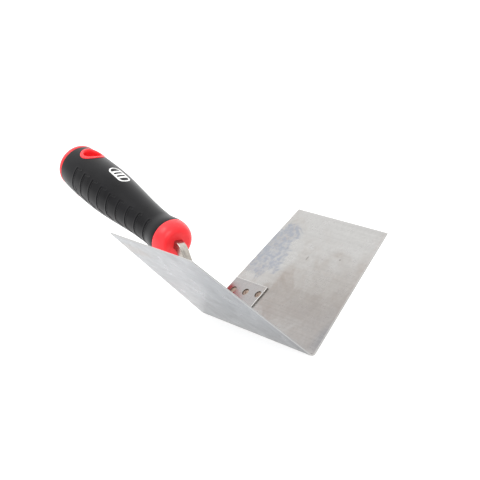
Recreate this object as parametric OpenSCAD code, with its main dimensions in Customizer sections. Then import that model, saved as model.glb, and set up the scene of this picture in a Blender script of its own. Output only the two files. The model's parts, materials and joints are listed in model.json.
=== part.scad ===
// Inside corner trowel: a bent steel blade with two wings, a
// welded saddle bracket, a gooseneck tang and a two-colour moulded handle.
// Millimetres. +X is forward along the spine, +Y the right wing, +Z up.
// The origin is the middle of the footprint, at the spine's lowest line.

/* [Blade] */
// Length of the spine, front tip to rear end
spine_len = 102; // [90:1:120]
// Width of one wing, spine to outer edge
wing_w = 86; // [76:1:100]
// Angle between the two wings
wing_angle = 99; // [94:1:104]
// Thickness of the blade sheet
blade_t = 0.9; // [0.7:0.1:1.2]
// Inner radius of the bend along the spine
bend_r = 2; // [1.8:0.1:3]
// How far the front edge sweeps back at the outer corner
front_sweep = 18; // [10:0.5:24]
// How far the rear edge comes forward at the outer corner
rear_sweep = 4; // [0:0.5:8]

/* [Bracket] */
// Length of the bracket along the spine
bracket_len = 30.5; // [26:0.5:36]
// Height of one bracket flange up the wing
flange_h = 27; // [26:0.5:34]
// Thickness of the bracket sheet
bracket_t = 1; // [1:0.1:1.6]
// Bracket's rear edge behind the blade's front tip
bracket_rear = 99.5; // [97:0.5:101]
// Diameter of a weld hole in the bracket
hole_d = 4.6; // [4:0.1:5]
// Distance between weld holes
hole_pitch = 10.8; // [10:0.1:11]
// Height of the rear weld hole up the wing
hole_h = 18.2; // [17:0.1:21]
// Rise of the row of holes toward the front
hole_rise = 6.5; // [0:0.5:8]

/* [Tang] */
// Width of the tang bar across the trowel
tang_w = 5.4; // [5:0.1:7]
// Thickness of the tang bar
tang_t = 5.4; // [4:0.1:6]
// Slope of the steep part of the gooseneck
tang_slope = 55; // [50:1:60]
// Radius of the upper bend, on the centre line
upper_bend_r = 11.3; // [8:0.1:13]
// Radius of the lower bend, on the centre line
lower_bend_r = 12; // [10:0.5:14]
// Length of the welded foot in the bracket's valley
foot_len = 22; // [18:0.5:25]
// Height of the bar above the handle's centre line, where it leaves the nose
tang_lift = 0.3; // [0:0.1:1]
// Length of tang inside the handle
tang_in_handle = 68; // [50:1:76]

/* [Handle] */
// Rise of the handle toward its rear end
handle_rise = 14.35; // [12:0.05:17]
// Front edge of the grip behind the blade's front tip
grip_front_back = 139.3; // [138:0.1:142]
// Height of the handle's centre line at the grip's front edge
grip_front_h = 37.4; // [36:0.1:41]
// Length of the black grip
grip_len = 112.6; // [110:0.1:118]
// Grip diameter at its rear edge
rear_d = 28.5; // [27:0.1:29]
// Grip diameter at the fullest point
belly_d = 30.7; // [30:0.1:32]
// Grip diameter at the waist behind the nose
waist_d = 22.5; // [22:0.1:24]
// Grip diameter at its front edge
front_d = 25.6; // [25:0.1:26.5]
// Wall of the grip over the core
grip_wall = 2.8; // [2:0.1:3.2]
// Length of the nose in front of the grip
nose_len = 8.9; // [8:0.1:12]
// Straight part of the nose next to the grip
nose_full = 0.5; // [0.2:0.1:2]
// Diameter of the flat front face of the nose
nose_face_d = 14.5; // [13:0.1:17]
// Straight part of the end cap next to the grip
cap_edge = 1.1; // [0.5:0.1:2]
// Radius of the rounding round the end cap
cap_round = 5; // [3.5:0.1:6]

/* [Hang hole] */
// Diameter of the hang hole
hang_d = 11.4; // [10:0.1:12]
// Outer diameter of the liner seen as a rim
liner_d = 16.2; // [15:0.1:18]
// Centre of the hang hole in front of the grip's rear edge
hang_pos = 13.2; // [12:0.1:18]
// Stand of the rim above the grip
rim_stand = 0.6; // [0.3:0.1:0.8]

/* [Grip pattern] */
// Grooves on each side of the grip
groove_count = 9; // [3:1:9]
// Distance between grooves
groove_pitch = 10.2; // [9.5:0.1:10.3]
// First groove in front of the grip's rear edge
groove_first = 18.1; // [17:0.1:20]
// Width of a groove
groove_w = 0.7; // [0.5:0.1:1]
// Depth of a groove
groove_deep = 0.45; // [0.3:0.05:0.6]
// Length of the printed mark on the top of the grip
mark_len = 19; // [12:1:20]
// Centre of the printed mark in front of the grip's rear edge
mark_pos = 48; // [40:1:56]

/* [Hidden] */
$fn = 96;
half = wing_angle / 2;
lean = 90 - half;
bend_out = bend_r + blade_t;
over = 60;
slope_cos = cos(handle_rise);
slope_sin = sin(handle_rise);

// Handle end, then the whole length, which centres the origin.
cap_r = rear_d / 2;
cap_flat_r = cap_r - cap_round;
rear_reach = (grip_len + cap_edge) * slope_cos + cap_flat_r * slope_sin + cap_round;
total_len = grip_front_back + rear_reach;
tip_x = total_len / 2;

// The valley inside the bracket and the tang's foot resting in it.
valley_z = bend_out - (bend_r - bracket_t) / sin(half);
foot_bottom = valley_z + tang_w / 2 / tan(half);
foot_z = foot_bottom + tang_t / 2;

// Where the bar's centre line leaves the nose.
nose_x = tip_x - grip_front_back + nose_len * slope_cos + tang_lift * slope_sin;
nose_z = grip_front_h - nose_len * slope_sin + tang_lift * slope_cos;
upper_drop = upper_bend_r * (cos(handle_rise) - cos(tang_slope));
lower_drop = lower_bend_r * (1 - cos(tang_slope));
steep_drop = nose_z - upper_drop - lower_drop - foot_z;
steep_len = steep_drop / sin(tang_slope);
steep_x = nose_x + upper_bend_r * (sin(tang_slope) - sin(handle_rise));
steep_z = nose_z - upper_drop;
foot_x = steep_x + steep_len * cos(tang_slope) + lower_bend_r * sin(tang_slope);

// Grip outline, measured forward from the grip's rear edge.
belly_pos = grip_len * 0.283;
waist_pos = grip_len * 0.885;
outline_steps = 26;

steel = [0.76, 0.77, 0.78];
bracket_steel = [0.7, 0.7, 0.7];
tang_steel = [0.6, 0.58, 0.55];
weld_steel = [0.5, 0.47, 0.44];
plug_steel = [0.62, 0.55, 0.46];
red = [0.9, 0.1, 0.13];
black = [0.08, 0.08, 0.09];
white = [0.93, 0.93, 0.93];

// Radius of the grip at a distance s in front of its rear edge.
function grip_r(s) =
    s < belly_pos
        ? rear_d / 2 + (belly_d - rear_d) / 2 * (1 - pow(1 - s / belly_pos, 3.2))
        : s < waist_pos
            ? waist_d / 2 + (belly_d - waist_d) / 2 * (1 + cos(180 * (s - belly_pos) / (waist_pos - belly_pos))) / 2
            : waist_d / 2 + (front_d - waist_d) / 2 * (1 - cos(180 * (s - waist_pos) / (grip_len - waist_pos))) / 2;

function step_pos(i) = grip_len * i / outline_steps;

// A half outline [radius, position] of the grip, shifted outward by extra.
function outline(extra) =
    [for (i = [0:outline_steps]) [grip_r(step_pos(i)) + extra, step_pos(i)]];

// Places a child in the handle's own frame: origin at the grip's rear edge,
// +Z toward the nose, -X toward the top of the handle.
module in_handle() {
    translate([tip_x - grip_front_back - grip_len * slope_cos, 0, grip_front_h + grip_len * slope_sin])
        rotate([0, 90 + handle_rise, 0])
            children();
}

// Places a flat child on the right wing: X along the spine from the front
// tip, Y up the wing from the bend's centre, Z inward from that centre.
module on_wing() {
    translate([tip_x, 0, bend_out])
        rotate([lean, 0, 0])
            children();
}

module mirrored(side) {
    if (side == "left") mirror([0, 1, 0]) children();
    else children();
}

// One face of a bent sheet in the Y, Z plane, right edge to left edge: up the
// wing by rise on each side of a bend of radius r round the bend's centre.
bend_steps = 16;
function sheet_face(r, rise) = concat(
    [[r * cos(half) + rise * sin(half), rise * cos(half) - r * sin(half)]],
    [for (k = [0:bend_steps]) let (a = -half - (180 - wing_angle) * k / bend_steps) [r * cos(a), r * sin(a)]],
    [[-r * cos(half) - rise * sin(half), rise * cos(half) - r * sin(half)]]);

function backward(list) = [for (k = [len(list) - 1:-1:0]) list[k]];

// A sheet bent along the spine, from x_rear to x_front, square at its edges.
module bent_sheet(x_rear, x_front, r_in, r_out, rise) {
    translate([tip_x + x_rear, 0, bend_out])
        rotate([90, 0, 90])
            linear_extrude(x_front - x_rear)
                polygon(concat(sheet_face(r_out, rise), backward(sheet_face(r_in, rise))));
}

// The slanted cuts at the front and rear of the right wing. Each starts a
// little way up the wing, so the bend itself keeps square ends.
module wing_cuts() {
    rise = wing_w - bend_out * cos(half);
    square_end = 1;
    run = (rise + over - square_end) / (rise - square_end);
    on_wing()
        translate([0, 0, -bend_out - 2])
            linear_extrude(bend_out + 4) {
                polygon([[0, square_end], [-front_sweep * run, rise + over], [over, rise + over], [over, square_end]]);
                polygon([[-spine_len, square_end], [rear_sweep * run - spine_len, rise + over],
                    [-spine_len - over, rise + over], [-spine_len - over, square_end]]);
            }
}

module blade() {
    rise = wing_w - bend_out * cos(half);
    color(steel)
        difference() {
            bent_sheet(-spine_len, 0, bend_r, bend_out, rise);
            wing_cuts();
            mirror([0, 1, 0]) wing_cuts();
        }
}

// Position of a weld hole: distance behind the tip and height up the wing.
function hole_x(i) = -bracket_rear + 6.2 + hole_pitch * i;
function hole_y(i) = hole_h + hole_pitch * i * tan(hole_rise);

module hole_prism(i, r, low, high) {
    on_wing()
        translate([hole_x(i), hole_y(i), low])
            cylinder(h = high - low, r = r);
}

module bracket() {
    color(bracket_steel)
        difference() {
            bent_sheet(-bracket_rear, bracket_len - bracket_rear, bend_r - bracket_t, bend_r, flange_h);
            for (side = ["right", "left"], i = [0:2])
                mirrored(side) hole_prism(i, hole_d / 2, -bend_r - 1, bracket_t);
        }
}

// A weld plug filling the lower part of one bracket hole.
module plug(side, i) {
    color(plug_steel)
        mirrored(side)
            hole_prism(i, hole_d / 2, -bend_r, -bend_r + bracket_t * 0.45);
}

// Points of one bend, round centre [cx, cz], from angle a to angle b.
arc_steps = 10;
function bend_points(cx, cz, r, a, b) =
    [for (k = [0:arc_steps]) [cx + r * cos(a + (b - a) * k / arc_steps), cz + r * sin(a + (b - a) * k / arc_steps)]];

// One long edge of the tang's side outline: off is the distance toward the
// outside of the upper bend.
function tang_edge(off) = concat(
    [[nose_x - tang_in_handle * slope_cos + off * slope_sin, nose_z + tang_in_handle * slope_sin + off * slope_cos]],
    bend_points(nose_x - upper_bend_r * slope_sin, nose_z - upper_bend_r * slope_cos,
        upper_bend_r + off, 90 - handle_rise, 90 - tang_slope),
    bend_points(foot_x, foot_z + lower_bend_r, lower_bend_r - off, 270 - tang_slope, 270),
    [[foot_x + foot_len, foot_z + off]]);

module tang_side() {
    polygon(concat(tang_edge(tang_t / 2), backward(tang_edge(-tang_t / 2))));
}

module tang() {
    color(tang_steel)
        translate([0, tang_w / 2, 0])
            rotate([90, 0, 0])
                linear_extrude(tang_w)
                    tang_side();
}

// A weld bead in the corner between the foot and the bracket.
module tang_weld(side) {
    leg = 3.2;
    color(weld_steel)
        mirrored(side)
            translate([foot_x + 1, 0, 0])
                rotate([90, 0, 90])
                    linear_extrude(foot_len - 2)
                        polygon([[tang_w / 2, foot_bottom], [tang_w / 2 + leg * sin(half), foot_bottom + leg * cos(half)],
                            [tang_w / 2 + leg * 0.5, foot_bottom + leg * 0.85], [tang_w / 2, foot_bottom + leg * 0.95]]);
}

// Half outline of the nose, from the grip's front edge forward.
nose_round = nose_len - nose_full;
nose_steps = 12;
function nose_arc(i) =
    let (a = 90 * i / nose_steps)
        [nose_face_d / 2 + (front_d - nose_face_d) / 2 * pow(cos(a), 0.85), grip_len + nose_full + nose_round * pow(sin(a), 0.95)];

module nose_solid() {
    rotate_extrude()
        polygon(concat([[0, grip_len], [front_d / 2, grip_len]],
            [for (i = [0:nose_steps]) nose_arc(i)], [[0, grip_len + nose_len]]));
}

module cap_solid() {
    rotate_extrude()
        union() {
            translate([0, -cap_edge - cap_round]) square([cap_flat_r, cap_edge + cap_round]);
            translate([0, -cap_edge]) square([cap_r, cap_edge]);
            intersection() {
                translate([cap_flat_r, -cap_edge]) circle(cap_round);
                translate([0, -cap_edge - cap_round]) square([cap_r, cap_round]);
            }
        }
}

module core_barrel() {
    rotate_extrude()
        polygon(concat([[0, 0]], outline(-grip_wall), [[0, grip_len]]));
}

// The hang hole's axis runs from the underside to the top of the handle.
module across(r) {
    translate([-over / 2, 0, hang_pos])
        rotate([0, 90, 0])
            cylinder(h = over, r = r);
}

module tang_slot() {
    translate([-tang_t / 2 - tang_lift, -tang_w / 2, grip_len + nose_len - tang_in_handle])
        cube([tang_t, tang_w, tang_in_handle + 1]);
}

module handle_core() {
    color(red)
        in_handle()
            difference() {
                union() {
                    nose_solid();
                    core_barrel();
                    cap_solid();
                }
                tang_slot();
                across(liner_d / 2);
                // the shallow dished ring of the nose's front face
                translate([0, 0, grip_len + nose_len - 0.6])
                    cylinder(h = 2, r = nose_face_d / 2 - 1.1);
            }
}

module hang_liner() {
    color(red)
        in_handle()
            intersection() {
                difference() {
                    across(liner_d / 2);
                    across(hang_d / 2);
                }
                rotate_extrude()
                    polygon(concat([[0, 0]], outline(rim_stand), [[0, grip_len]]));
            }
}

// One groove: an arc round the side of the grip with a short hook forward.
module groove(i, side) {
    s = groove_first + groove_pitch * i;
    r = grip_r(s);
    turn = side == "left" ? 180 : 0;
    translate([0, 0, s - groove_w / 2])
        rotate([0, 0, turn + 90 - 30])
            rotate_extrude(angle = 60)
                translate([r - groove_deep, 0])
                    square([groove_deep + 2, groove_w]);
}

module grip() {
    color(black)
        in_handle()
            difference() {
                rotate_extrude()
                    polygon(concat(outline(0), backward(outline(-grip_wall))));
                across(liner_d / 2);
                for (i = [0:groove_count - 1]) {
                    groove(i, "right");
                    groove(i, "left");
                }
            }
}

// A generic printed badge: an oval ring with three bars.
module badge() {
    w = mark_len * 0.42;
    difference() {
        badge_oval(mark_len, w);
        badge_oval(mark_len - 2, w - 2);
    }
    for (k = [-1:1])
        translate([k * mark_len * 0.2, 0])
            square([mark_len * 0.09, w - 1.5], center = true);
}

module badge_oval(l, w) {
    for (e = [-1, 1])
        translate([e * (l - w) / 2, 0]) circle(w / 2);
    square([l - w, w], center = true);
}

module print_mark() {
    mark_t = 0.15;
    color(white)
        in_handle()
            intersection() {
                translate([-over / 2, 0, mark_pos])
                    rotate([0, 90, 0])
                        linear_extrude(over / 2)
                            badge();
                difference() {
                    rotate_extrude() polygon(concat([[0, 0]], outline(mark_t), [[0, grip_len]]));
                    rotate_extrude() polygon(concat([[0, 0]], outline(0), [[0, grip_len]]));
                }
            }
}

blade();
bracket();
tang();
tang_weld("right");  // tang_weld_right
tang_weld("left");  // tang_weld_left
plug("right", 0);  // plug_right_1
plug("right", 1);  // plug_right_2
plug("right", 2);  // plug_right_3
plug("left", 0);  // plug_left_1
plug("left", 1);  // plug_left_2
plug("left", 2);  // plug_left_3
handle_core();
hang_liner();
grip();
print_mark();
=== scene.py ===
"""Inside corner trowel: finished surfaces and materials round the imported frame."""

import json
import math

import bmesh
import bpy
import numpy as np
from bpy.props import FloatProperty, FloatVectorProperty, IntProperty, PointerProperty
from mathutils import Matrix, Vector


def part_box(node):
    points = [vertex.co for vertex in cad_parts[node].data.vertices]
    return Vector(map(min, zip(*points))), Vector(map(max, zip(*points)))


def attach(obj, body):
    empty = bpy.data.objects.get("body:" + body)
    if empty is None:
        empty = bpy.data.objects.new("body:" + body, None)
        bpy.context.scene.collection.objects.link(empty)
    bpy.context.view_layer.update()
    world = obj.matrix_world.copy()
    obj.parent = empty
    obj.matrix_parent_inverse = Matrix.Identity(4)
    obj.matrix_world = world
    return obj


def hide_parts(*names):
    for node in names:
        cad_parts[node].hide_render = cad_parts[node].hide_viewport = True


bl_info = {
    "name": "Inside Corner Trowel",
    "version": (1, 0, 0),
    "blender": (4, 5, 0),
    "location": "View3D > Sidebar > Trowel",
    "description": "Builds the blade, bracket, tang and handle of an inside corner trowel",
    "category": "Add Mesh",
}

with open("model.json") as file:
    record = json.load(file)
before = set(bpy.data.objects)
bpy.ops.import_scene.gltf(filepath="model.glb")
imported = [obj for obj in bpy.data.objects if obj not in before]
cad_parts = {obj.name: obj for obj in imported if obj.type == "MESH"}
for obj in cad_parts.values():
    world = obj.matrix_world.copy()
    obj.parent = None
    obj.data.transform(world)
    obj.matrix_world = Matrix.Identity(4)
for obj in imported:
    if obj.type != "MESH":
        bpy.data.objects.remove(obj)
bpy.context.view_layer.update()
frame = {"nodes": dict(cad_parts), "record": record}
MM = 0.001
ROOT = "root"
RIPPLE_WAVES = 6
SIDES = ((1, "right"), (-1, "left"))
ACROSS = np.array([0.0, 1.0, 0.0])


# ---------------------------------------------------------------- the frame


def mount(name):
    """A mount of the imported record: its point and its axis as arrays."""
    for entry in frame["record"]["mounts"]:
        if entry["name"] == name:
            return np.array(entry["pos_m"], float), np.array(entry["axis"], float)
    raise RuntimeError("the record has no mount named " + name)


def node_box(name):
    """Lowest and highest corner of a node as arrays."""
    low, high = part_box(name)
    return np.array(low, float), np.array(high, float)


# --------------------------------------------------------------- properties


def length(name, description, millimetres):
    """A length property, given in millimetres."""
    size = {"default": millimetres * MM, "unit": "LENGTH", "precision": 5}
    return FloatProperty(name=name, description=description, **size)


def angle(name, description, degrees):
    """An angle property, given in degrees."""
    return FloatProperty(name=name, description=description, default=math.radians(degrees), subtype="ANGLE")


def colour(name, description, value):
    """A colour property."""
    channels = {"default": value, "subtype": "COLOR", "size": 3, "min": 0, "max": 1}
    return FloatVectorProperty(name=name, description=description, **channels)


class BladeSettings(bpy.types.PropertyGroup):
    """Sizes and finish of the steel sheet parts."""

    wing_angle: angle("Wing angle", "Angle between the two wings", 99)
    sheet: length("Sheet thickness", "Thickness of the blade sheet", 0.9)
    bend: length("Bend radius", "Inner radius of the bend along the spine", 2)
    front_sweep: length("Front sweep", "How far the front edge sweeps back at the outer corner", 18)
    rear_sweep: length("Rear sweep", "How far the rear edge comes forward at the outer corner", 4)
    edge: length("Edge rounding", "Rounding of the sheet's cut edges", 0.22)
    bracket_sheet: length("Bracket thickness", "Thickness of the bracket sheet", 1.0)
    hole_d: length("Weld hole", "Diameter of a weld hole in the bracket", 4.6)
    steel: colour("Blade steel", "Colour of the clean blade", (0.388, 0.383, 0.375))
    stain: colour("Blade stain", "Colour of the warm smudges on the blade", (0.325, 0.295, 0.272))
    frost: colour("Blade frost", "Colour of the frosty patch on the right wing", (0.285, 0.298, 0.33))
    bracket_steel: colour("Bracket steel", "Colour of the bracket", (0.3, 0.289, 0.288))


class TangSettings(bpy.types.PropertyGroup):
    """Sizes and finish of the bar between the bracket and the handle."""

    width: length("Bar width", "Width of the bar across the trowel", 5.4)
    thickness: length("Bar thickness", "Thickness of the bar", 5.4)
    slope: angle("Steep slope", "Slope of the steep part of the gooseneck", 55)
    upper_bend: length("Upper bend", "Radius of the upper bend on the centre line", 11.3)
    lower_bend: length("Lower bend", "Radius of the lower bend on the centre line", 12)
    foot: length("Foot length", "Length of the welded foot", 22)
    lift: length("Lift", "Height of the bar above the handle's middle where it leaves the nose", 0.3)
    corner: length("Corner rounding", "Rounding of the bar's long edges", 0.55)
    steel: colour("Bar steel", "Colour of the bar", (0.45, 0.42, 0.38))
    weld: colour("Weld metal", "Colour of the welds", (0.3, 0.26, 0.22))


class HandleSettings(bpy.types.PropertyGroup):
    """Sizes and finish of the moulded handle."""

    grip_len: length("Grip length", "Length of the black grip", 112.6)
    rear_d: length("Rear diameter", "Grip diameter at its rear edge", 28.44)
    belly_d: length("Belly diameter", "Grip diameter at the fullest point", 30.7)
    waist_d: length("Waist diameter", "Grip diameter behind the nose", 22.5)
    front_d: length("Front diameter", "Grip diameter at its front edge", 25.6)
    wall: length("Grip wall", "Wall of the grip over the core", 2.8)
    seam: length("Seam rounding", "Rounding where black meets red", 0.3)
    nose_len: length("Nose length", "Length of the nose in front of the grip", 8.9)
    nose_full: length("Nose straight", "Straight part of the nose next to the grip", 0.5)
    face_d: length("Nose face", "Diameter of the flat front face of the nose", 14.5)
    cap_edge: length("Cap straight", "Straight part of the end cap next to the grip", 1.1)
    cap_round: length("Cap rounding", "Rounding round the end cap", 4.98)
    hang_d: length("Hang hole", "Diameter of the hang hole", 11.4)
    liner_d: length("Liner", "Outer diameter of the hang hole's rim", 16.2)
    hang_pos: length("Hang hole place", "Centre of the hang hole in front of the grip's rear edge", 13.2)
    rim_stand: length("Rim stand", "How far the rim stands above the grip", 0.52)
    groove_count: IntProperty(
        name="Grooves", description="Grooves on each side of the grip", default=9, min=1, max=12
    )
    groove_pitch: length("Groove pitch", "Distance between grooves", 10.2)
    groove_first: length("First groove", "First groove in front of the grip's rear edge", 18.1)
    groove_deep: length("Groove depth", "Depth of a groove", 0.42)
    groove_half: length("Groove half width", "Half width of a groove", 0.33)
    red: colour("Red plastic", "Colour of the hard core", (0.95, 0.024, 0.032))
    black: colour("Black rubber", "Colour of the soft grip", (0.0042, 0.0042, 0.005))


class StudioSettings(bpy.types.PropertyGroup):
    """Camera, light and floor."""

    azimuth: angle("Azimuth", "Camera direction, turned from +X toward -Y", 35.81)
    elevation: angle("Elevation", "Camera height above the horizon", 12.3)
    roll: angle("Roll", "Turn of the camera about its own axis", 1.0)
    distance: length("Distance", "From the aim point to the camera", 700)
    aim: FloatVectorProperty(
        name="Aim",
        description="Point at the middle of the view",
        default=(0.1254, -0.0465, 0.0673),
        size=3,
        unit="LENGTH",
    )
    lens: FloatProperty(name="Lens", description="Focal length in millimetres", default=105, min=20, max=300)
    floor: length("Floor size", "Width of the floor", 40000)


GROUPS = {
    "trowel_blade": BladeSettings,
    "trowel_tang": TangSettings,
    "trowel_handle": HandleSettings,
    "trowel_studio": StudioSettings,
}


# ------------------------------------------------------------- mesh helpers


def grid_faces(rows, columns, wrap_rows, wrap_columns):
    """Corner numbers of the quads of a rows x columns grid of points; a
    wrapped direction joins its last line of points to its first."""
    i = np.arange(rows if wrap_rows else rows - 1)
    j = np.arange(columns if wrap_columns else columns - 1)
    i, j = [a.ravel() for a in np.meshgrid(i, j, indexing="ij")]
    i2, j2 = (i + 1) % rows, (j + 1) % columns
    return np.stack([i * columns + j, i2 * columns + j, i2 * columns + j2, i * columns + j2], 1)


def full_turn(count):
    """Evenly spaced angles round a circle."""
    return np.linspace(0, 2 * np.pi, count, endpoint=False)


def settle(mesh, sharp=40, merge=2e-6):
    """Merges doubles, points the faces outward by the sign of the enclosed
    volume, and keeps edges steeper than sharp degrees crisp."""
    work = bmesh.new()
    work.from_mesh(mesh)
    bmesh.ops.remove_doubles(work, verts=work.verts, dist=merge)
    bmesh.ops.dissolve_degenerate(work, edges=work.edges, dist=1e-7)
    bmesh.ops.recalc_face_normals(work, faces=work.faces)
    if work.calc_volume(signed=True) < 0:
        bmesh.ops.reverse_faces(work, faces=work.faces)
    work.to_mesh(mesh)
    work.free()
    mesh.shade_smooth()
    mesh.set_sharp_from_angle(angle=math.radians(sharp))
    return mesh


def surface_mesh(name, points, wrap_rows=False, sharp=40, merge=2e-6):
    """A closed mesh from a grid of points whose columns go round, doubles at
    poles and seams merged."""
    rows, columns = points.shape[:2]
    mesh = bpy.data.meshes.new(name)
    faces = grid_faces(rows, columns, wrap_rows, True)
    mesh.from_pydata(points.reshape(-1, 3).tolist(), [], faces.tolist())
    return settle(mesh, sharp, merge)


def add_piece(name, mesh, material, nodes):
    """Adds a finished piece to the scene in place of the named nodes."""
    piece = bpy.data.objects.new(name, mesh)
    bpy.context.scene.collection.objects.link(piece)
    mesh.materials.clear()
    mesh.materials.append(material)
    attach(piece, ROOT)
    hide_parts(*nodes)


def applied(piece, name):
    """A piece's mesh with all of its modifiers applied."""
    graph = bpy.context.evaluated_depsgraph_get()
    mesh = bpy.data.meshes.new_from_object(piece.evaluated_get(graph))
    mesh.name = name
    return mesh


def cut(name, mesh, tool_mesh):
    """A mesh with the inside of another closed mesh cut away."""
    body = bpy.data.objects.new(name + "_uncut", mesh)
    tool = bpy.data.objects.new(name + "_tool", tool_mesh)
    for piece in (body, tool):
        bpy.context.scene.collection.objects.link(piece)
    modifier = body.modifiers.new("cut", "BOOLEAN")
    modifier.operation = "DIFFERENCE"
    modifier.solver = "EXACT"
    modifier.object = tool
    result = applied(body, name)
    bpy.data.objects.remove(body)
    bpy.data.objects.remove(tool)
    result.shade_smooth()
    result.set_sharp_from_angle(angle=math.radians(50))
    return result


def ripple(values, seed):
    """A gentle repeatable wave between about -1 and 1: a sum of sines with
    fixed random lengths and phases along values, which run from 0 to 1."""
    random = np.random.default_rng(seed)
    total = np.zeros_like(values)
    for k in range(1, RIPPLE_WAVES + 1):
        total += np.sin(2 * np.pi * (k * values * random.uniform(0.7, 1.3) + random.random())) / k
    return total / 2


# -------------------------------------------------------- materials helpers


# painted shade: a cool darker tint that the left wing's colour is multiplied by
LEFT_WING_PAINTED_SHADE = (0.87, 0.915, 0.965)
GRIME = (0.07, 0.06, 0.055)
RUST = (0.1, 0.085, 0.075)
# the colour of the painted highlight along the cut edges
EDGE_HIGHLIGHT = (0.57, 0.56, 0.545)
# how far inside a sheared edge its painted highlight starts and is full
EDGE_NONE = 0.45 * MM
EDGE_FULL = 0.3 * MM
PLUG_METAL = (0.2, 0.155, 0.125)


def faded(shade, amount):
    """A colour with each of its channels multiplied by amount."""
    return tuple(channel * amount for channel in shade)


class Paint:
    """Adds and links the shader nodes of one material. A source is a (node,
    output) pair; everywhere else a plain number or colour will do."""

    def __init__(self, name, **shader):
        self.material = bpy.data.materials.new(name)
        self.material.use_nodes = True
        self.tree = self.material.node_tree
        self.tree.nodes.clear()
        self.shader = self.tree.nodes.new("ShaderNodeBsdfPrincipled")
        output = self.tree.nodes.new("ShaderNodeOutputMaterial")
        self.tree.links.new(self.shader.outputs["BSDF"], output.inputs["Surface"])
        for socket, value in shader.items():
            self.shader.inputs[socket.replace("_", " ")].default_value = value
        self.coordinates = self.tree.nodes.new("ShaderNodeTexCoord")

    def put(self, node, socket, value):
        """Sets one input, from a source pair or from a plain value."""
        if isinstance(value, tuple) and hasattr(value[0], "outputs"):
            self.tree.links.new(value[0].outputs[value[1]], node.inputs[socket])
        elif value is not None:
            node.inputs[socket].default_value = value

    def add(self, kind, inputs, **settings):
        """A new node: its settings first, then its inputs."""
        node = self.tree.nodes.new("ShaderNode" + kind)
        for name, value in settings.items():
            setattr(node, name, value)
        for socket, value in inputs.items():
            self.put(node, socket, value)
        return node

    def place(self, scale=(1, 1, 1), offset=(0, 0, 0)):
        """Object coordinates, scaled and moved."""
        source = (self.coordinates, "Object")
        return self.add("Mapping", {"Vector": source, "Location": offset, "Scale": scale})

    def noise(self, place, scale, detail=4.0, roughness=0.5, distortion=0.0):
        """Cloudy noise between nought and one."""
        inputs = {"Vector": (place, "Vector"), "Scale": scale, "Detail": detail}
        return self.add("TexNoise", {**inputs, "Roughness": roughness, "Distortion": distortion}), "Fac"

    def cells(self, place, scale):
        """Distance from scattered points, one to a cell."""
        return self.add("TexVoronoi", {"Vector": (place, "Vector"), "Scale": scale}), "Distance"

    def vector(self, operation, first, second=None):
        """A vector calculation's node."""
        return self.add("VectorMath", {0: first, 1: second}, operation=operation)

    def patch(self, centre, size, ragged, amount, full=0.75, none=1.1):
        """One inside an ellipsoid round centre, nought outside, with an edge
        made ragged by a noise source; full and none say where, from the
        centre to the ellipsoid, it starts to fade and is gone."""
        scale = tuple(1 / value for value in size)
        offset = tuple(-c / value for c, value in zip(centre, size))
        node = self.vector("LENGTH", (self.place(scale=scale, offset=offset), "Vector"))
        stray = self.calc("MULTIPLY", self.calc("SUBTRACT", ragged, 0.5), -amount)
        return self.spread(self.calc("ADD", (node, "Value"), stray), full, none, 1.0, 0.0)

    def left_side(self, place):
        """One on the left of the trowel's middle plane, nought on the right."""
        across = self.add("SeparateXYZ", {"Vector": (place, "Vector")})
        return self.spread((across, "Y"), -3 * MM, -1 * MM, 1.0, 0.0)

    def spread(self, source, low, high, to_low=0.0, to_high=1.0):
        """Maps a source from low..high to to_low..to_high, clamped."""
        inputs = {"Value": source, "From Min": low, "From Max": high, "To Min": to_low, "To Max": to_high}
        return self.add("MapRange", inputs), 0

    def calc(self, operation, first, second):
        """A calculation with two numbers."""
        return self.add("Math", {0: first, 1: second}, operation=operation), 0

    def mix(self, factor, first, second, blend="MIX"):
        """A colour mix of two colours or sources."""
        ends = [end if hasattr(end[0], "outputs") else (*end[:3], 1.0) for end in (first, second)]
        return self.add("Mix", {0: factor, 6: ends[0], 7: ends[1]}, data_type="RGBA", blend_type=blend), 2

    def daub(self, base, shade, strength, *where):
        """A colour laid over a base in one patch, as strongly as told."""
        return self.mix(self.calc("MULTIPLY", self.patch(*where), strength), base, shade)

    def bump(self, height, distance, strength, under=None):
        """A bumpy normal from a height source, over another one if given."""
        inputs = {"Height": height, "Distance": distance, "Strength": strength, "Normal": under}
        return self.add("Bump", inputs), "Normal"

    def finish(self, base, roughness=None, normal=None):
        """Joins the sources to the shader and returns the material."""
        for socket, value in (("Base Color", base), ("Roughness", roughness), ("Normal", normal)):
            self.put(self.shader, socket, value)
        return self.material


def sheared_edges(settings, rise, ends, sweeps):
    """The cut edges of a bent sheet as planes: a direction over X, the size
    of Y, and Z, and the distance along it at which the edge lies."""
    half = settings.wing_angle / 2
    up = np.array([0, math.sin(half), math.cos(half)])
    lift = (settings.bend + settings.sheet) * math.cos(half)
    planes = [(up, rise + lift)]
    for sign, end, sweep in ((-1, ends[0], sweeps[0]), (1, ends[1], sweeps[1])):
        slant = sweep / rise
        planes.append((np.array([sign, 0, 0]) + slant * up, sign * end + slant * lift))
    return planes


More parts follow.
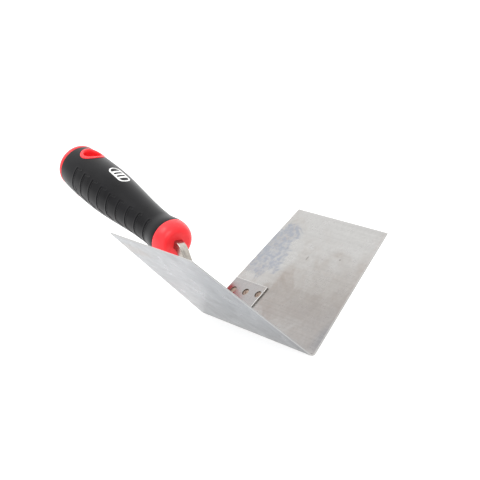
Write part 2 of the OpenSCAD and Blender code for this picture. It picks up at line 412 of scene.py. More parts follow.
def marks_and_painted_shade(paint, plain, base, stained, frost, broad, cloudy):
    """Lays marks and painted shade over a base colour: warm smears and
    painted shade on the lower front of the right wing, painted cool shade
    over a quieter left wing, a tick, a spot, painted shade at the front of
    the valley, a smear at the far corner of the left wing, and a frosty
    patch high on the right. Returns the colour and how frosty each place is."""
    low = ((0.08, 0.018, 0.016), (0.034, 0.012, 0.012), cloudy, 2.2)
    base = paint.daub(base, faded(stained, 0.84), 0.5, *low)
    # painted shade: the lower front of the right wing, beside the valley, darkened toward a deeper stain
    # colour
    shade = ((0.125, 0.03, 0.012), (0.075, 0.05, 0.032), broad, 1.2, 0.3, 1.25)
    base = paint.daub(base, faded(stained, 0.76), 0.75, *shade)
    # painted shade: a bluish darker patch low at the front of the left wing
    left_front_painted_shade = ((0.12, -0.03, 0.03), (0.07, 0.05, 0.05), broad, 1.4, 0.35, 1.3)
    base = paint.daub(base, faded(frost, 0.85), 0.3, *left_front_painted_shade)
    # painted shade: the whole left wing's colour multiplied by a cool darker tint
    base = paint.mix(paint.left_side(plain), base, LEFT_WING_PAINTED_SHADE, "MULTIPLY")
    tick = paint.patch((0.069, 0.042, 0.036), (0.0006, 0.0016, 0.0018), cloudy, 1.0)
    spot = paint.patch((0.0935, 0.046, 0.039), (0.001, 0.0008, 0.0008), cloudy, 0.8)
    dark = paint.calc("MULTIPLY", paint.calc("ADD", tick, spot), 0.42)
    base = paint.mix(dark, base, GRIME)
    # painted shade: a small darker patch low in the front of the valley between the wings
    corner = ((0.1254, 0.009, 0.009), (0.006, 0.012, 0.012), cloudy, 1.4, 0.4, 1.2)
    base = paint.daub(base, faded(frost, 0.6), 0.45, *corner)
    smear = ((0.0405, -0.056, 0.047), (0.014, 0.006, 0.006), cloudy, 2.0)
    base = paint.daub(base, stained, 0.5, *smear)
    chill = paint.patch((0.036, 0.041, 0.035), (0.019, 0.021, 0.021), cloudy, 1.6, 0.9, 1.02)
    crystals = paint.spread(paint.noise(plain, 330.0, 6.0, 0.72), 0.4, 0.56, 0.15, 1.0)
    return paint.mix(paint.calc("MULTIPLY", chill, crystals), base, frost), chill


def painted_edge_highlight(paint, plain, base, edges, shine):
    """Brightens a base colour close to the sheared edges of a sheet: a
    painted highlight along the cut edges.
    """
    mirrored = paint.vector("ABSOLUTE", (plain, "Vector"))
    for direction, reach in edges:
        along = paint.vector("DOT_PRODUCT", (mirrored, "Vector"), tuple(direction))
        highlight_amount = paint.spread((along, "Value"), reach - EDGE_NONE, reach - EDGE_FULL, 0.0, shine)
        base = paint.mix(highlight_amount, base, EDGE_HIGHLIGHT)
    return base


def sheet_steel(name, clean, stained, rough, edges, frost=None):
    """Ground stainless sheet: fine straight grain, broad warm smudges, thin
    scratches, a few dark specks and a painted highlight along the cut edges.
    With a frost colour it also gets the worn blade's marks and painted shade,
    and its edge highlight is fainter."""
    paint = Paint(name, Metallic=1.0)
    plain = paint.place()
    grain = paint.noise(paint.place(scale=(14, 700, 700)), 1.0, 3.0, 0.6)
    broad = paint.noise(plain, 26.0, 5.0, 0.55, 0.6)
    cloudy = paint.noise(plain, 85.0, 6.0, 0.62, 0.8)
    mottle = paint.noise(plain, 520.0, 4.0, 0.65)
    scratch = paint.noise(paint.place(scale=(45, 1900, 1900)), 1.0, 2.0, 0.5)
    scratch = paint.spread(scratch, 0.7, 0.78)
    speck = paint.spread(paint.cells(plain, 34.0), 0.009, 0.018, 0.4, 0.0)
    smudge = paint.calc("MULTIPLY", paint.spread(broad, 0.4, 0.62), paint.spread(cloudy, 0.38, 0.66))
    roughness = paint.spread(cloudy, 0.3, 0.75, rough - 0.05, rough + 0.1)
    if frost:
        quiet = paint.spread(paint.left_side(plain), 0, 1, 1.0, 0.45)
        base = paint.mix(paint.calc("MULTIPLY", smudge, quiet), clean, stained)
        base, chill = marks_and_painted_shade(paint, plain, base, stained, frost, broad, cloudy)
        roughness = paint.calc("ADD", roughness, paint.calc("MULTIPLY", chill, 0.12))
    else:
        base = paint.mix(smudge, clean, stained)
    base = paint.mix(1.0, base, paint.spread(grain, 0.3, 0.7, 0.95, 1.04), "MULTIPLY")
    base = paint.mix(1.0, base, paint.spread(mottle, 0.3, 0.7, 0.93, 1.05), "MULTIPLY")
    base = paint.mix(speck, base, RUST)
    base = painted_edge_highlight(paint, plain, base, edges, 0.5 if frost else 0.8)
    roughness = paint.calc("ADD", roughness, paint.spread(mottle, 0.3, 0.7, -0.03, 0.04))
    roughness = paint.calc("ADD", roughness, paint.calc("MULTIPLY", scratch, 0.05))
    height = paint.calc("SUBTRACT", grain, paint.calc("MULTIPLY", scratch, 0.3))
    waves = paint.bump(paint.noise(plain, 14.0, 1.0), 0.4 * MM, 0.25)
    return paint.finish(base, roughness, paint.bump(height, 0.015 * MM, 0.3, waves))


def bar_steel(name, shade):
    """Bar steel with a coarser linished grain along the bar and dull spots."""
    paint = Paint(name, Metallic=1.0)
    grain = paint.noise(paint.place(scale=(90, 1400, 90)), 1.0, 3.0, 0.6)
    cloud = paint.noise(paint.place(), 160.0, 5.0, 0.6, 0.4)
    base = paint.mix(paint.spread(cloud, 0.42, 0.7), shade, faded(shade, 0.6))
    base = paint.mix(1.0, base, paint.spread(grain, 0.3, 0.7, 0.86, 1.1), "MULTIPLY")
    return paint.finish(base, paint.spread(cloud, 0.3, 0.7, 0.16, 0.3), paint.bump(grain, 0.02 * MM, 0.4))


def weld_metal(name, shade):
    """Weld metal: dull brown grey with heat tints and fine pits."""
    paint = Paint(name, Metallic=0.85)
    cloud = paint.noise(paint.place(), 320.0, 4.0, 0.6)
    grain = paint.noise(paint.place(), 1900.0, 3.0, 0.6)
    base = paint.mix(paint.spread(cloud, 0.35, 0.65), shade, tuple(min(1.0, c * 1.7) for c in shade))
    return paint.finish(base, paint.spread(cloud, 0.3, 0.7, 0.38, 0.6), paint.bump(grain, 0.08 * MM, 0.5))


def red_plastic(name, shade):
    """Hard moulded plastic: soft satin gloss, faint flow clouds, fine
    orange-peel and a few scuffs."""
    paint = Paint(name, IOR=1.42, Coat_Weight=0.06, Coat_Roughness=0.22)
    cloud = paint.noise(paint.place(), 60.0, 4.0, 0.55)
    peel = paint.noise(paint.place(), 900.0, 3.0, 0.5)
    scuff = paint.noise(paint.place(scale=(1, 1, 3)), 260.0, 5.0, 0.7, 0.5)
    base = paint.mix(paint.spread(cloud, 0.35, 0.65), shade, faded(shade, 0.86))
    base = paint.mix(paint.spread(scuff, 0.66, 0.8, 0.0, 0.12), base, (0.95, 0.35, 0.33))
    return paint.finish(base, paint.spread(scuff, 0.3, 0.75, 0.3, 0.46), paint.bump(peel, 0.02 * MM, 0.4))


def black_rubber(name, shade):
    """Soft overmoulded rubber: matt with a grey bloom, fine eroded texture
    and a little dust."""
    paint = Paint(name, IOR=1.22)
    cloud = paint.noise(paint.place(), 45.0, 5.0, 0.6, 0.4)
    texture = paint.noise(paint.place(), 2600.0, 2.0, 0.5)
    dust = paint.noise(paint.place(), 700.0, 5.0, 0.7)
    base = paint.mix(paint.spread(cloud, 0.35, 0.7), shade, tuple(c * 1.5 + 0.002 for c in shade))
    base = paint.mix(paint.spread(dust, 0.7, 0.82, 0.0, 0.18), base, (0.2, 0.2, 0.2))
    return paint.finish(base, paint.spread(cloud, 0.3, 0.7, 0.25, 0.37), paint.bump(texture, 0.03 * MM, 0.4))


def white_print(name):
    """Pad-printed white ink, slightly thin and worn in spots."""
    paint = Paint(name, IOR=1.45)
    worn = paint.noise(paint.place(), 900.0, 4.0, 0.65)
    base = paint.mix(paint.spread(worn, 0.62, 0.75, 0.0, 0.55), (0.83, 0.83, 0.82), (0.25, 0.25, 0.25))
    return paint.finish(base, paint.spread(worn, 0.3, 0.7, 0.4, 0.55), paint.bump(worn, 0.02 * MM, 0.4))


# ------------------------------------------------------------ sheet surfaces


def rounded_loop(low, high, half_thick, rounding, steps=24):
    """Loops round a rounded rectangle in the plane of X and the normal, one
    for each station: from low to high along X and half_thick each way. All
    four are arrays over the stations."""
    low, high, thick, turn_r = [np.asarray(a)[:, None] for a in (low, high, half_thick, rounding)]
    run = np.linspace(0, 1, steps)[None]
    quarter = np.linspace(0, np.pi / 2, 5)[None]
    cos, sin = np.cos(quarter), np.sin(quarter)
    a, b = low + turn_r, high - turn_r
    c = thick - turn_r
    back = [b + (a - b) * run, a - turn_r * sin, a - turn_r * cos]
    ahead = [a + (b - a) * run, b + turn_r * sin, b + turn_r * cos]
    flat = np.ones_like(run)
    over = [thick * flat, c + turn_r * cos, -c - turn_r * sin]
    under = [-thick * flat, -c - turn_r * cos, c + turn_r * sin]
    return np.concatenate(back + ahead, 1), np.concatenate(over + under, 1)


def bent_stations(radius, rise, half, flats, bends, rounding, half_thick):
    """Stations across a bent sheet, left edge to right edge: straight down
    the left wing, an arc round the bend's centre, straight up the right.
    Returns points and inward normals in the Y, Z plane, the height up the
    wing, and the half thickness, which rounds off at the two outer edges."""
    turn = np.linspace(np.pi / 2, 0, 5)
    straight = np.linspace(rise - rounding, 0, flats)[1:]
    climb = np.concatenate([[rise], rise - rounding * (1 - np.sin(turn)), straight])
    thick = np.concatenate([[0], half_thick - rounding * (1 - np.cos(turn)), np.full(flats - 1, half_thick)])
    inward = np.array([math.cos(half), math.sin(half)])
    upward = np.array([-math.sin(half), math.cos(half)])
    left = climb[:, None] * upward - radius * inward
    swing = np.linspace(half - np.pi, -half, bends)[1:-1]
    arc = np.stack([np.cos(swing), np.sin(swing)], 1)
    flip = np.array([-1, 1])
    points = np.concatenate([left, radius * arc, left[::-1] * flip])
    lean = np.repeat(inward[None], len(climb), 0)
    normals = np.concatenate([lean, -arc, lean * flip])
    level = np.zeros(len(swing))
    heights = np.concatenate([climb, level, climb[::-1]])
    thicks = np.concatenate([thick, level + half_thick, thick[::-1]])
    return points, normals, heights, thicks


def bent_sheet(name, angle_between, lift, inner, thickness, rounding, rise, ends, sweeps):
    """A bent sheet: a rounded rectangle in the plane of X and the normal,
    carried across from one outer edge to the other. Its ends slide with the
    height up the wing, which gives the swept front and rear edges."""
    thick = thickness / 2
    points, normals, heights, thicks = bent_stations(
        inner + thick, rise, angle_between / 2, 30, 19, rounding, thick
    )
    low = ends[0] + sweeps[0] * heights / rise
    high = ends[1] - sweeps[1] * heights / rise
    along, away = rounded_loop(low, high, thicks, np.minimum(rounding, thicks))
    yz = points[:, None] + normals[:, None] * away[..., None]
    return surface_mesh(name, np.stack([along, yz[..., 0], yz[..., 1] + lift], -1))


# ----------------------------------------------------------- handle surfaces


class HandleFrame:
    """The handle's own directions: fore runs along the handle to the nose
    and up toward its top, from the centre of the grip's rear edge."""

    def __init__(self, settings):
        centre, axis = mount("hang_hole")
        self.up = axis / np.linalg.norm(axis)
        self.fore = np.cross(ACROSS, self.up)
        self.start = centre - settings.hang_pos * self.fore
        self.settings = settings

    def place(self, along, side, up):
        """Points at a distance along the handle, to the right, and up."""
        along, side, up = np.broadcast_arrays(along, side, up)
        return self.start + along[..., None] * self.fore + side[..., None] * ACROSS + up[..., None] * self.up

    def radius(self, along):
        """The grip's radius: it swells as 1 - (1 - t)^3.2 to the belly, falls
        as half a cosine wave to the waist and rises as one to the nose."""
        s = self.settings
        rear, belly, waist, front = s.rear_d / 2, s.belly_d / 2, s.waist_d / 2, s.front_d / 2
        full, narrow = s.grip_len * 0.283, s.grip_len * 0.885
        swell = rear + (belly - rear) * (1 - np.clip(1 - along / full, 0, 1) ** 3.2)
        falling = np.clip((along - full) / (narrow - full), 0, 1)
        flaring = np.clip((along - narrow) / (s.grip_len - narrow), 0, 1)
        fall = (belly - waist) * (1 - np.cos(np.pi * falling)) / 2
        flare = (front - waist) * (1 - np.cos(np.pi * flaring)) / 2
        return swell - fall + flare


def revolved(name, handle, along, radius):
    """A profile of distances along the handle and radii, turned about it."""
    turn = full_turn(120)[None]
    along, radius = along[:, None], radius[:, None]
    return surface_mesh(name, handle.place(along, radius * np.cos(turn), radius * np.sin(turn)))


def hang_tool(handle, radius, name):
    """A closed cylinder along the hang hole, long enough to cut right
    through; its ends close on the axis."""
    reach = handle.settings.belly_d
    turn = full_turn(96)[None]
    rho = np.array([0, radius, radius, 0])[:, None]
    up = np.array([-reach, -reach, reach, reach])[:, None]
    points = handle.place(handle.settings.hang_pos + rho * np.cos(turn), rho * np.sin(turn), up + 0 * turn)
    return surface_mesh(name, points)


def groove_lines(settings):
    """The grooves of one side as line pieces in distance along the handle
    (in metres) and angle above the handle's middle plane (in radians): an
    upright, a short hook forward at the top and a longer one below."""
    lines = []
    for i in range(settings.groove_count):
        at = settings.groove_first + settings.groove_pitch * i
        late = max(0, i - 4)
        top = math.radians(31 + 2.4 * late)
        foot = math.radians(-24 - i)
        lines.append((at, top, at, foot))
        lines.append((at, top, at + (4.6 - 0.9 * late) * MM, top + math.radians(2)))
        lines.append((at, foot, at + 5.5 * MM, foot - math.radians(9)))
    at = settings.groove_first
    lines.append((at + 3.2 * MM, math.radians(-12), at + 4.4 * MM, math.radians(-19)))
    return lines


def groove_depth(settings, along, rise, radius):
    """Depth of the grooves at each point: a rounded channel round the
    nearest line piece, with a faint raised lip beside it."""
    nearest = np.full(along.shape, 1.0)
    height = rise * radius
    for a0, b0, a1, b1 in groove_lines(settings):
        x0, y0, x1, y1 = a0, b0 * radius, a1, b1 * radius
        dx, dy = x1 - x0, y1 - y0
        t = np.clip(((along - x0) * dx + (height - y0) * dy) / (dx * dx + dy * dy), 0, 1)
        nearest = np.minimum(nearest, np.hypot(along - x0 - t * dx, height - y0 - t * dy))
    channel = np.exp(-((nearest / settings.groove_half) ** 2))
    lip = np.exp(-(((nearest - 2.6 * settings.groove_half) / settings.groove_half) ** 2))
    return settings.groove_deep * (channel - 0.28 * lip)


def fine_steps(low, high, coarse, fine, zones):
    """Rising values from low to high, coarse apart, and fine apart inside
    the given zones."""
    values = [np.arange(low, high, coarse), [high]]
    values += [np.arange(a, b, fine) for a, b in zones]
    values = np.unique(np.concatenate(values))
    keep = np.concatenate([[True], np.diff(values) > fine * 0.45])
    return values[keep]


def grip_mesh(name, handle):
    """The grip: radius(along) less the groove depth outside, a plain sleeve
    inside, and small rounded edges where it meets the red."""
    s = handle.settings
    near = 0.9 * MM
    grooves = [s.groove_first + s.groove_pitch * i for i in range(s.groove_count)]
    zones = [(at - near, at + near) for at in grooves]
    body = fine_steps(s.seam, s.grip_len - s.seam, 0.5 * MM, 0.15 * MM, zones)
    quarter = np.linspace(0, np.pi / 2, 5)
    rear = s.seam * (1 - np.sin(quarter))[::-1]
    sink_rear = s.seam * (1 - np.cos(quarter))[::-1]
    front = s.grip_len - rear[::-1]
    along = np.concatenate([rear[:-1], body, front[1:]])
    sink = np.concatenate([sink_rear[:-1], np.zeros(len(body)), sink_rear[::-1][1:]])
    inner = np.linspace(s.grip_len, 0, 40)
    half = fine_steps(-90, 90, 4.5, 1.2, [(-46, -20), (26, 44)])[:-1]
    turn = np.radians(np.concatenate([half, half + 180]))[None]
    rise = np.arcsin(np.clip(np.sin(turn), -1, 1))
    radius = handle.radius(along)[:, None]
    grid_along, grid_rise = np.broadcast_arrays(along[:, None], rise)
    outside = radius - sink[:, None] - groove_depth(s, grid_along, grid_rise, radius)
    inside = handle.radius(inner)[:, None] - s.wall + 0 * turn
    all_along = np.concatenate([along, inner])[:, None]
    all_radius = np.concatenate([outside, inside])
    points = handle.place(all_along, all_radius * np.cos(turn), all_radius * np.sin(turn))
    sleeve = surface_mesh(name + "_sleeve", points, wrap_rows=True, sharp=60, merge=1e-6)
    return cut(name, sleeve, hang_tool(handle, s.liner_d / 2 - 0.05 * MM, "liner_seat"))


def core_profile(handle):
    """Distances along the handle and radii of the red core from the front
    pole to the rear pole: dished face, nose swelling as a superellipse, the
    barrel under the grip, and the rounded end cap."""
    s = handle.settings
    tip = s.grip_len + s.nose_len
    face, nose = s.face_d / 2, s.front_d / 2
    turn = np.linspace(np.pi / 2, 0, 22)
    dish = np.linspace(0, 1, 16)
    along = [tip - 0.03 * MM - 0.28 * MM * np.cos(np.pi / 2 * dish) ** 2]
    radius = [(face - 0.5 * MM) * dish]
    along.append(s.grip_len + s.nose_full + (s.nose_len - s.nose_full) * np.sin(turn) ** 0.95)
    radius.append(face + (nose - face) * np.cos(turn) ** 0.85)
    along.append([s.grip_len + s.seam * 0.5, s.grip_len])
    radius.append([nose, nose - s.seam * 0.5])
    barrel = np.linspace(s.grip_len, 0, 30)
    along.append(barrel)
    radius.append(handle.radius(barrel) - s.wall - 0.03 * MM)
    quarter = np.linspace(0, np.pi / 2, 12)
    rear = s.rear_d / 2
    along.append([0, -s.seam * 0.5])
    radius.append([rear - s.seam * 0.5, rear])
    along.append(-s.cap_edge - s.cap_round * np.sin(quarter))
    radius.append(rear - s.cap_round + s.cap_round * np.cos(quarter))
    shrink = np.linspace(1, 0, 8)[1:]
    along.append(np.full_like(shrink, -s.cap_edge - s.cap_round))
    radius.append((rear - s.cap_round) * shrink)
    return np.concatenate(along), np.concatenate(radius)


def liner_mesh(name, handle):
    """The hang hole's liner: round the hole's axis, a loop up the outside,
    over a domed rim that follows the grip's curved top, and down the hole."""
    s = handle.settings
    inner, outer = s.hang_d / 2, s.liner_d / 2
    turn = full_turn(120)
    t = np.concatenate([[1.0], 1 - 0.5 * (1 - np.cos(np.linspace(0, np.pi, 18)))[1:]])
    edge = np.clip(1 - np.abs(2 * t - 1) ** 5, 0, 1) ** 0.4
    roll = (1.5 * MM) * (1 - np.sqrt(1 - np.clip(1 - t / 0.42, 0, 1) ** 2))
    rho = inner + (outer - inner) * t
    grid_rho, grid_turn = np.meshgrid(rho, turn, indexing="ij")
    along = s.hang_pos + grid_rho * np.cos(grid_turn)
    side = grid_rho * np.sin(grid_turn)
    crown = np.sqrt(handle.radius(along) ** 2 - side**2)
    crown = crown + (s.rim_stand * edge - roll - (1 - edge) * 0.25 * MM)[:, None]
    walls = np.linspace(1, -1, 9)[1:-1]
    wall = walls[:, None] * crown[-1][None]
    rows_rho = np.concatenate([grid_rho, np.full(wall.shape, inner), grid_rho[::-1]])
    rows_up = np.concatenate([crown, wall, -crown[::-1]])
    points = handle.place(s.hang_pos + rows_rho * np.cos(turn), rows_rho * np.sin(turn), rows_up)
    return surface_mesh(name, points, wrap_rows=True, sharp=50)


# ------------------------------------------------------ tang, welds and plugs


def tang_path(settings, handle):
    """Centre line of the bar in the X, Z plane with its forward direction:
    straight out of the nose, an arc down, a steep straight, an arc back to
    level, and the foot in the bracket's valley."""
    s = settings
    low, high = node_box("tang")
    rise = math.atan2(handle.up[0], handle.up[2])
    reach = handle.settings.grip_len + handle.settings.nose_len
    nose = (handle.start + reach * handle.fore + s.lift * handle.up)[[0, 2]]
    foot = np.array([high[0] - s.foot, low[2] + s.thickness / 2])
    upper = nose + s.upper_bend * np.array([-math.sin(rise), -math.cos(rise)])
    lower = foot + np.array([0, s.lower_bend])
    fall = np.linspace(rise, s.slope, 16)
    level = np.linspace(s.slope, 0, 16)
    inside = np.linspace(-18 * MM, 0, 8)[:-1, None] * np.array([math.cos(rise), -math.sin(rise)]) + nose
    bend_a = upper + s.upper_bend * np.stack([np.sin(fall), np.cos(fall)], 1)
    bend_b = lower - s.lower_bend * np.stack([np.sin(level), np.cos(level)], 1)
    steep = bend_a[-1] + np.linspace(0, 1, 12)[1:-1, None] * (bend_b[0] - bend_a[-1])
    sole = foot + np.linspace(0, 1, 14)[1:, None] * np.array([s.foot, 0])
    slopes = [np.full(len(inside), rise), fall, np.full(len(steep), s.slope), level, np.zeros(len(sole))]
    return np.concatenate([inside, bend_a, steep, bend_b, sole]), np.concatenate(slopes)


def tang_mesh(name, settings, handle):
    """The bar: a rounded rectangle carried along the centre line, its foot end
    rounded by shrinking the section over the last corner radius, its nose end flat."""
    centre, slope = tang_path(settings, handle)
    s = settings
    quarter = np.linspace(0, np.pi / 2, 5)
    corners = [(1, 1, 0), (-1, 1, np.pi / 2), (-1, -1, np.pi), (1, -1, 3 * np.pi / 2)]
    half_w, half_t, r = s.width / 2, s.thickness / 2, s.corner
    side = np.concatenate([a * (half_w - r) + r * np.cos(quarter + turn) for a, b, turn in corners])
    lift = np.concatenate([b * (half_t - r) + r * np.sin(quarter + turn) for a, b, turn in corners])
    heading = np.stack([np.cos(slope), -np.sin(slope)], 1)
    normal = np.stack([np.sin(slope), np.cos(slope)], 1)
    # ends: a collapsed station closes each end, and extra stations over the foot's last corner radius are
    # pulled in by it
    turn = np.linspace(0, np.pi / 2, 5)
    front = centre[-1] + heading[-1] * (r * (np.sin(turn) - 1))[:, None]
    shrink_front = r * (1 - np.cos(turn))
    centre = np.concatenate([centre[:1], centre[:-1], front, front[-1:]])
    normal = np.concatenate([normal[:1], normal[:-1], np.repeat(normal[-1:], len(front) + 1, 0)])
    inset = np.concatenate([[half_t], np.zeros(len(slope) - 1), shrink_front, [half_t]])[:, None]
    keep_w = np.clip((half_w - inset) / half_w, 0, 1)
    keep_t = np.clip((half_t - inset) / half_t, 0, 1)
    side = side[None] * keep_w
    lift = lift[None] * keep_t
    x = centre[:, :1] + normal[:, :1] * lift
    z = centre[:, 1:] + normal[:, 1:] * lift
    return surface_mesh(name, np.stack([x, side, z], -1), sharp=50)


def weld_mesh(name, node, side, seed):
    """A weld bead: a lumpy circle carried along the corner between foot and
    bracket, its radius rising and falling in overlapping ripples."""
    low, high = node_box(node)
    run = np.linspace(0, 1, 110)[:, None]
    turn = full_turn(28)[None]
    reach = high[2] - low[2]
    beads = 1 - np.abs(((run * 13) % 1) - 0.35) ** 1.5 * 0.25
    ends = np.sqrt(np.clip(1 - (2 * run - 1) ** 10, 0, 1))
    radius = reach * (0.52 + 0.05 * ripple(run, seed)) * beads * ends
    x = low[0] + (high[0] - low[0]) * run + 0.12 * reach * np.cos(turn) * ends
    inner = low[1] if side > 0 else -high[1]
    y = inner + 0.26 * reach + radius * np.cos(turn)
    z = low[2] + 0.5 * reach + 0.05 * reach * ripple(run, seed + 9) + radius * np.sin(turn)
    return surface_mesh(name, np.stack([x + 0 * turn, side * y, z], -1))


def plug_mesh(name, node, side, settings, seed):
    """A weld plug: a low lumpy dome turned about the hole's axis, with a
    small crater a little off its middle."""
    low, high = node_box(node)
    inward, upward = wing_frame(settings, side)
    ahead = np.array([1.0, 0, 0])
    centre = (low + high) / 2
    turn = full_turn(40)[None]
    rings = 12
    part = np.concatenate([np.linspace(0, 0.97, rings), [1, 1, 0]])[:, None]
    radius = settings.hole_d / 2 * part
    level = np.concatenate([np.full(rings, 0.22 * MM), [0.05 * MM, -0.3 * MM, -0.3 * MM]])[:, None]
    lumps = 0.1 * MM * ripple((turn / (2 * np.pi) + seed * 0.37) % 1, seed) * part * (1 - part)
    crater = -0.3 * MM * np.exp(-(((part - 0.3) / 0.25) ** 2)) * (1 + np.cos(turn + seed)) / 2
    dome = 0.35 * MM * (1 - part**2)
    top = (np.arange(len(part)) < rings)[:, None]
    height = level + np.where(top, dome + lumps + crater * (part > 0), 0)
    x, y = radius * np.cos(turn), radius * np.sin(turn)
    points = centre + x[..., None] * ahead + y[..., None] * upward + height[..., None] * inward
    return surface_mesh(name, points)


def wing_frame(settings, side):
    """Directions of one wing: inward from its face, and up the wing."""
    half = settings.wing_angle / 2
    inward = np.array([0, -side * math.cos(half), math.sin(half)])
    return inward, np.array([0, side * math.sin(half), math.cos(half)])


def bracket_mesh(name, settings):
    """The bracket: a bent sheet inside the blade's bend, with a weld hole
    through a flange round each plug. Returns it with its cut edges."""
    low, high = node_box("bracket")
    inner = settings.bend - settings.bracket_sheet
    half = settings.wing_angle / 2
    rise = (high[1] - settings.bend * math.cos(half)) / math.sin(half)
    lift = settings.bend + settings.sheet
    sheet = (inner, settings.bracket_sheet, 1.7 * settings.edge, rise)
    mesh = bent_sheet(name, settings.wing_angle, lift, *sheet, (low[0], high[0]), (0, 0))
    turn = full_turn(48)[None, :, None]
    rho = np.array([0, 1, 1, 0])[:, None, None] * settings.hole_d / 2
    depth = np.array([-3, -3, 3, 3])[:, None, None] * MM
    for side, word in SIDES:
        inward, upward = wing_frame(settings, side)
        for number in (1, 2, 3):
            centre = np.mean(node_box(f"plug_{word}_{number}"), axis=0)
            ring = np.array([1.0, 0, 0]) * np.cos(turn) + upward * np.sin(turn)
            mesh = cut(name, mesh, surface_mesh("hole", centre + rho * ring + depth * inward))
    return mesh, sheared_edges(settings, rise, (low[0], high[0]), (0, 0))


# ---------------------------------------------------------------- operators


class TROWEL_OT_blade(bpy.types.Operator):
    """Build the bent steel blade"""

    bl_idname = "trowel.blade"
    bl_label = "Blade"

    def execute(self, context):
        s = context.scene.trowel_blade
        low, high = node_box("blade")
        half = s.wing_angle / 2
        rise = (high[1] - (s.bend + s.sheet) * math.cos(half)) / math.sin(half)
        sheet = (s.bend + s.sheet, s.bend, s.sheet, s.edge, rise)
        ends, sweeps = (low[0], high[0]), (s.rear_sweep, s.front_sweep)
        mesh = bent_sheet("blade_sheet", s.wing_angle, *sheet, ends, sweeps)
        edges = sheared_edges(s, rise, ends, sweeps)
        finish = sheet_steel("ground blade steel", s.steel, s.stain, 0.3, edges, s.frost)
        add_piece("blade_sheet", mesh, finish, ["blade"])
        return {"FINISHED"}


class TROWEL_OT_bracket(bpy.types.Operator):
    """Build the saddle bracket and the weld plugs in its holes"""

    bl_idname = "trowel.bracket"
    bl_label = "Bracket"

    def execute(self, context):
        s = context.scene.trowel_blade
        mesh, edges = bracket_mesh("bracket_saddle", s)
        finish = sheet_steel("satin bracket steel", s.bracket_steel, s.stain, 0.17, edges)
        add_piece("bracket_saddle", mesh, finish, ["bracket"])
        metal = weld_metal("plug weld metal", PLUG_METAL)
        for side, word in SIDES:
            for number in (1, 2, 3):
                node = f"plug_{word}_{number}"
                mesh = plug_mesh("weld_" + node, node, side, s, number + (3 if side < 0 else 0))
                add_piece("weld_" + node, mesh, metal, [node])
        return {"FINISHED"}


class TROWEL_OT_tang(bpy.types.Operator):
    """Build the gooseneck bar and its two weld beads"""

    bl_idname = "trowel.tang"
    bl_label = "Tang"

    def execute(self, context):
        s = context.scene.trowel_tang
        handle = HandleFrame(context.scene.trowel_handle)
        finish = bar_steel("linished bar", s.steel)
        add_piece("tang_bar", tang_mesh("tang_bar", s, handle), finish, ["tang"])
        metal = weld_metal("bead weld metal", s.weld)
        for side, word in SIDES:
            node = "tang_weld_" + word
            mesh = weld_mesh("bead_" + word, node, side, 5 + side)
            add_piece("bead_" + word, mesh, metal, [node])
        return {"FINISHED"}


class TROWEL_OT_core(bpy.types.Operator):
    """Build the red core with its nose and end cap, and the hole's liner"""

    bl_idname = "trowel.core"
    bl_label = "Red core"

    def execute(self, context):
        s = context.scene.trowel_handle
        handle = HandleFrame(s)
        finish = red_plastic("red moulded plastic", s.red)
        along, radius = core_profile(handle)
        core = revolved("core", handle, along, radius)
        core = cut("red_core", core, hang_tool(handle, s.liner_d / 2 - 0.02 * MM, "liner_seat"))
        add_piece("red_core", core, finish, ["handle_core"])
        add_piece("hang_rim", liner_mesh("hang_rim", handle), finish, ["hang_liner"])
        return {"FINISHED"}


class TROWEL_OT_grip(bpy.types.Operator):
    """Build the black grip and finish its printed badge"""

    bl_idname = "trowel.grip"
    bl_label = "Grip"

    def execute(self, context):
        s = context.scene.trowel_handle
        handle = HandleFrame(s)
        finish = black_rubber("soft black rubber", s.black)
        add_piece("soft_grip", grip_mesh("soft_grip", handle), finish, ["grip"])
        badge = frame["nodes"]["print_mark"]
        badge.material_slots[0].material = white_print("white pad print")
        return {"FINISHED"}


def soft_light(name, place, aim, size, power):
    """A square area light at place, pointed at aim."""
    data = bpy.data.lights.new(name, "AREA")
    data.shape = "SQUARE"
    data.size = size
    data.energy = power
    lamp = bpy.data.objects.new(name, data)
    lamp.location = place
    lamp.rotation_euler = (Vector(aim) - Vector(place)).to_track_quat("-Z", "Y").to_euler()
    bpy.context.scene.collection.objects.link(lamp)


def studio_floor(size):
    """A broad pale floor just under the trowel, a light table that glows."""
    mesh = bpy.data.meshes.new("studio_floor")
    line = np.linspace(-size / 2, size / 2, 9)
    x, y = np.meshgrid(line, line, indexing="ij")
    points = np.stack([x, y, np.full_like(x, -0.2 * MM)], -1).reshape(-1, 3)
    mesh.from_pydata(points.tolist(), [], grid_faces(9, 9, False, False).tolist())
    paint = Paint("pale floor", Roughness=0.9, Emission_Color=(1, 1, 1, 1), Emission_Strength=0.78)
    tone = paint.noise(paint.place(), 3.0, 3.0)
    mesh.materials.append(paint.finish(paint.mix(tone, (0.46, 0.46, 0.46), (0.445, 0.445, 0.45))))
    floor = bpy.data.objects.new("studio_floor", mesh)
    bpy.context.scene.collection.objects.link(floor)


def studio_world(name, low, high, bright):
    """A soft sky that brightens from all round toward one side overhead."""
    world = bpy.data.worlds.new(name)
    world.use_nodes = True
    tree = world.node_tree
    source = tree.nodes.new("ShaderNodeTexCoord")
    toward = tree.nodes.new("ShaderNodeVectorMath")
    ramp = tree.nodes.new("ShaderNodeMapRange")
    ramp.interpolation_type = "SMOOTHSTEP"
    for socket, value in (("From Min", -0.1), ("From Max", 1.0), ("To Min", low), ("To Max", high)):
        ramp.inputs[socket].default_value = value
    toward.operation = "DOT_PRODUCT"
    toward.inputs[1].default_value = Vector(bright).normalized()
    tree.links.new(source.outputs["Generated"], toward.inputs[0])
    tree.links.new(toward.outputs["Value"], ramp.inputs["Value"])
    background = tree.nodes["Background"]
    background.inputs["Color"].default_value = (1, 1, 1, 1)
    tree.links.new(ramp.outputs[0], background.inputs["Strength"])
    return world


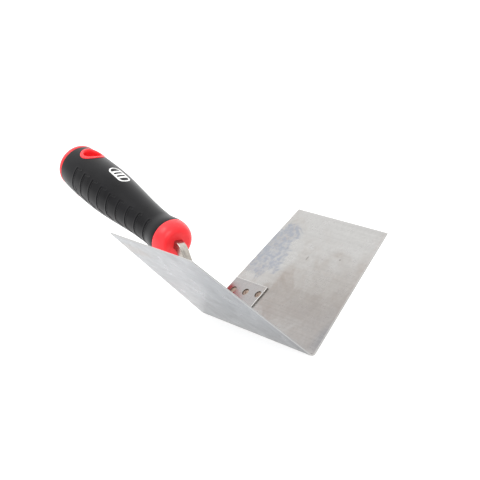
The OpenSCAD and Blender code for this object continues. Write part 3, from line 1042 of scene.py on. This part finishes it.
class TROWEL_OT_studio(bpy.types.Operator):
    """Set the floor, the lights, the world and the camera"""

    bl_idname = "trowel.studio"
    bl_label = "Studio"

    def execute(self, context):
        s = context.scene.trowel_studio
        studio_floor(s.floor)
        context.scene.world = studio_world("studio", 0.85, 1.65, (-0.6, 0.45, 0.66))
        soft_light("key", (-0.25, -1.2, 1.6), (0, 0, 0.03), 0.8, 12)
        soft_light("fill", (1.5, -0.9, 0.9), (0, 0, 0.03), 1.0, 12)
        camera = bpy.data.objects.new("camera", bpy.data.cameras.new("camera"))
        camera.data.lens = s.lens
        camera.data.sensor_width = 36
        camera.data.clip_start = 0.01
        level, turned = math.cos(s.elevation), (math.cos(s.azimuth), -math.sin(s.azimuth))
        out = Vector((level * turned[0], level * turned[1], math.sin(s.elevation)))
        turn = out.to_track_quat("Z", "Y").to_matrix() @ Matrix.Rotation(s.roll, 3, "Z")
        camera.matrix_world = Matrix.Translation(Vector(s.aim) + out * s.distance) @ turn.to_4x4()
        context.scene.collection.objects.link(camera)
        context.scene.camera = camera
        context.scene.view_settings.view_transform = "Standard"
        return {"FINISHED"}


STEPS = [TROWEL_OT_blade, TROWEL_OT_bracket, TROWEL_OT_tang, TROWEL_OT_core, TROWEL_OT_grip, TROWEL_OT_studio]


class TROWEL_PT_panel(bpy.types.Panel):
    """Sidebar panel with every step and its sizes"""

    bl_idname = "TROWEL_PT_panel"
    bl_label = "Trowel"
    bl_space_type = "VIEW_3D"
    bl_region_type = "UI"
    bl_category = "Trowel"

    def draw(self, context):
        for group, settings in GROUPS.items():
            box = self.layout.box()
            for name in settings.__annotations__:
                box.prop(getattr(context.scene, group), name)
        for step in STEPS:
            self.layout.operator(step.bl_idname)


def register():
    for group, settings in GROUPS.items():
        bpy.utils.register_class(settings)
        setattr(bpy.types.Scene, group, PointerProperty(type=settings))
    for entry in (*STEPS, TROWEL_PT_panel):
        bpy.utils.register_class(entry)


def unregister():
    for entry in (TROWEL_PT_panel, *reversed(STEPS)):
        bpy.utils.unregister_class(entry)
    for group, settings in GROUPS.items():
        delattr(bpy.types.Scene, group)
        bpy.utils.unregister_class(settings)


def main():
    register()
    for step in STEPS:
        area, name = step.bl_idname.split(".")
        getattr(getattr(bpy.ops, area), name)()


if __name__ == "__main__":
    main()
